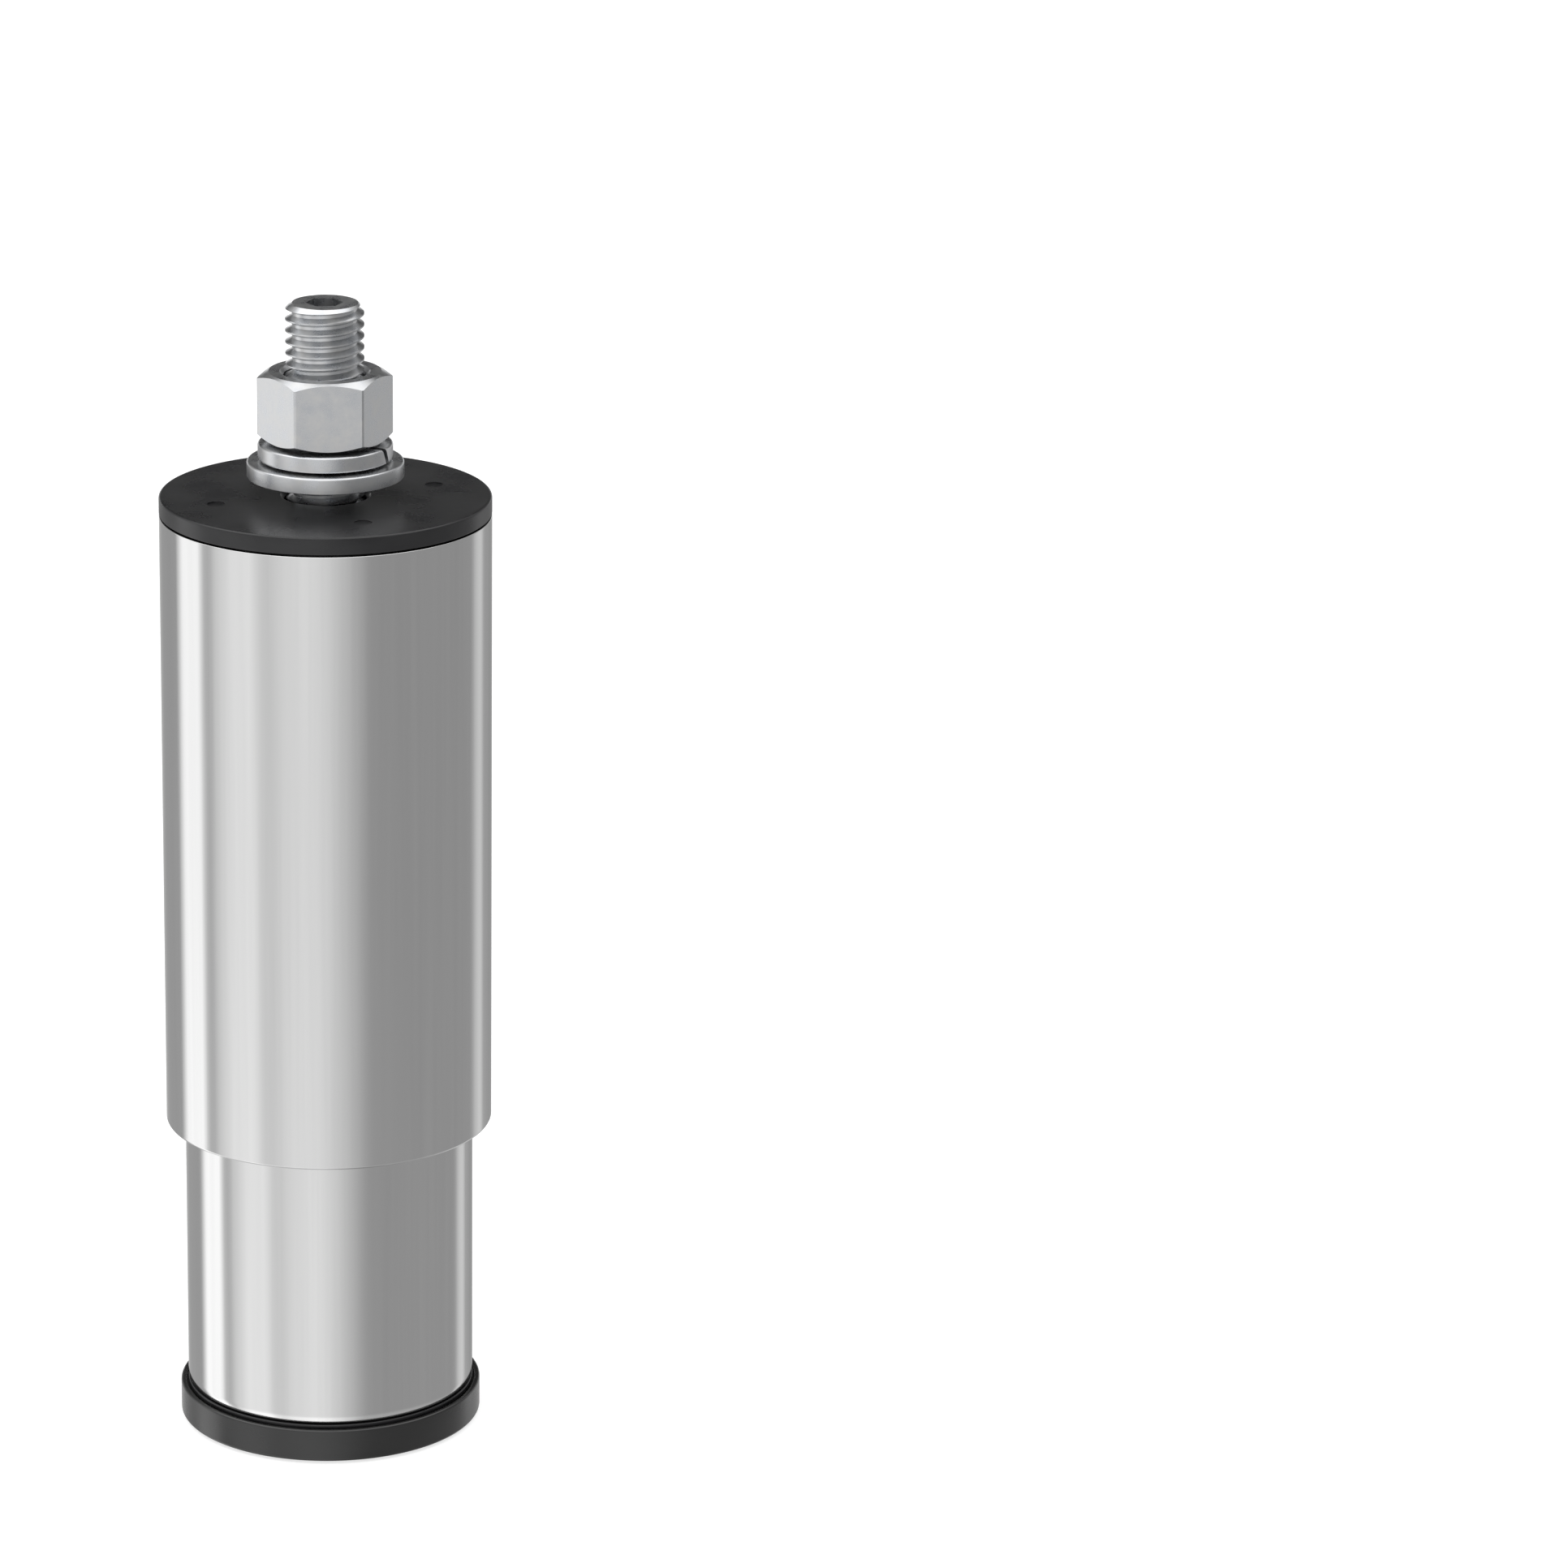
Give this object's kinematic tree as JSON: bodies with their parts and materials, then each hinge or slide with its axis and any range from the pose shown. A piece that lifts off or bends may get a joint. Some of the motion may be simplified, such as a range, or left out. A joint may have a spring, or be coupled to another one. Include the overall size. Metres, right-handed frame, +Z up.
{
  "type": "furniture leveling foot",
  "caption": "Telescoping round stainless leg with a swivelling black foot; turning the lower tube on an inner threaded rod sets the height, and a stud clamps it to furniture.",
  "frame": {"origin": "centre of the foot's sole, on the floor, on the leg's axis", "axes": "+Z up along the leg's axis, from the floor towards the furniture; X and Y are level"},
  "size_m": [0.0508, 0.0508, 0.18],
  "materials": {
    "satin_stainless": "satin polished stainless steel tube",
    "zinc_plated_steel": "bright zinc plate",
    "spring_steel": "dark phosphated spring steel",
    "black_nylon": "moulded black nylon",
    "white_acetal": "smooth white acetal",
    "black_plastic": "semi-gloss moulded black plastic",
    "black_rubber": "matte black rubber"
  },
  "bodies": {
    "upper_leg": {"outer_tube": "satin_stainless", "top_insert": "black_nylon", "threaded_rod": "zinc_plated_steel", "insert_nut": "zinc_plated_steel", "lock_pin": "spring_steel", "flat_washer": "zinc_plated_steel", "spring_washer": "zinc_plated_steel", "mounting_nut": "zinc_plated_steel", "guide_bush": "black_nylon", "stop_washer": "zinc_plated_steel", "retaining_ring": "spring_steel"},
    "glide": {"glide_washer": "white_acetal"},
    "lower_leg": {"lower_tube": "satin_stainless", "nut_carrier": "black_nylon", "leveling_nut": "zinc_plated_steel", "nut_cap": "zinc_plated_steel", "lower_plug": "black_nylon"},
    "foot": {"foot_base": "black_plastic", "foot_pad": "black_rubber", "pivot_bolt": "zinc_plated_steel", "pivot_washer": "zinc_plated_steel", "pivot_nut": "zinc_plated_steel"}
  },
  "joints": [
    {"name": "leg_travel", "type": "slide", "parent": "upper_leg", "child": "glide", "axis": [0, 0, 1], "range_m": [-0.01575, 0.035]},
    {"name": "leg_turn", "type": "hinge", "parent": "glide", "child": "lower_leg", "pos_m": [0, 0, 0], "axis": [0, 0, 1], "range_deg": [-3240, 7200]},
    {"name": "foot_swivel", "type": "hinge", "parent": "glide", "child": "foot", "pos_m": [0, 0, 0], "axis": [0, 0, 1], "continuous": true}
  ],
  "couplings": [
    {"joint": "leg_turn", "follows": "leg_travel", "rad_per_m": 3590.4}
  ]
}
